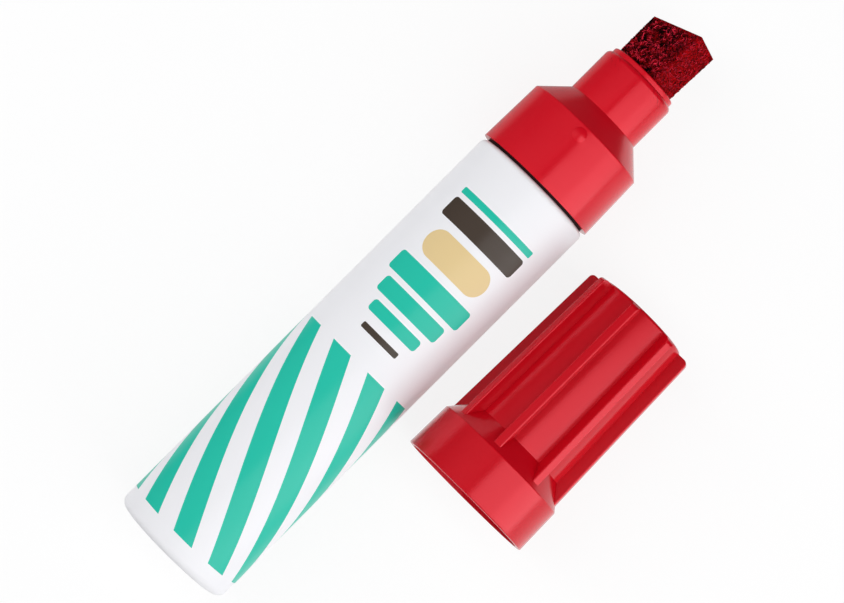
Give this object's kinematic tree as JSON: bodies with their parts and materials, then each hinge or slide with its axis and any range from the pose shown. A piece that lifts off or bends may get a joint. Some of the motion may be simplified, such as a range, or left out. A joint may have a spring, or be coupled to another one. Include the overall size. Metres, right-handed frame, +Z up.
{
  "type": "permanent marker",
  "caption": "Jumbo felt marker lying with its cap off: straight white barrel, red tapered collar and neck, slanted rectangular felt nib, and a ribbed push-on cap with an inner seal.",
  "frame": {"origin": "centre of the flat base of the barrel", "axes": "+X along the barrel from base to nib, +Z up from the table that the marker and its cap lie on, +Y to the side away from the cap"},
  "size_m": [0.1797, 0.0777, 0.038],
  "materials": {
    "white_lacquer": "smooth satin lacquer on thin aluminium",
    "black_rubber": "matte",
    "red_plastic": "moulded, glossy",
    "cap_plastic": "moulded, glossy",
    "inked_felt": "pressed felt soaked with red ink",
    "inked_filler": "fibre bundle soaked with red ink",
    "clear_film": "thin film"
  },
  "bodies": {
    "marker": {"barrel": "white_lacquer", "seal_ring": "black_rubber", "collar": "red_plastic", "nib_holder": "red_plastic", "reservoir": "inked_filler", "reservoir_wrap": "clear_film"},
    "felt": {"nib": "inked_felt"},
    "cap": {"cap_shell": "cap_plastic", "cap_liner": "cap_plastic"}
  },
  "joints": [
    {"name": "cap_pull", "type": "slide", "parent": "marker", "child": "cap", "axis": [1, 0, 0], "range_m": [0, 0.13]},
    {"name": "nib_pull", "type": "slide", "parent": "marker", "child": "felt", "axis": [1, 0, 0], "range_m": [0, 0.031]}
  ]
}
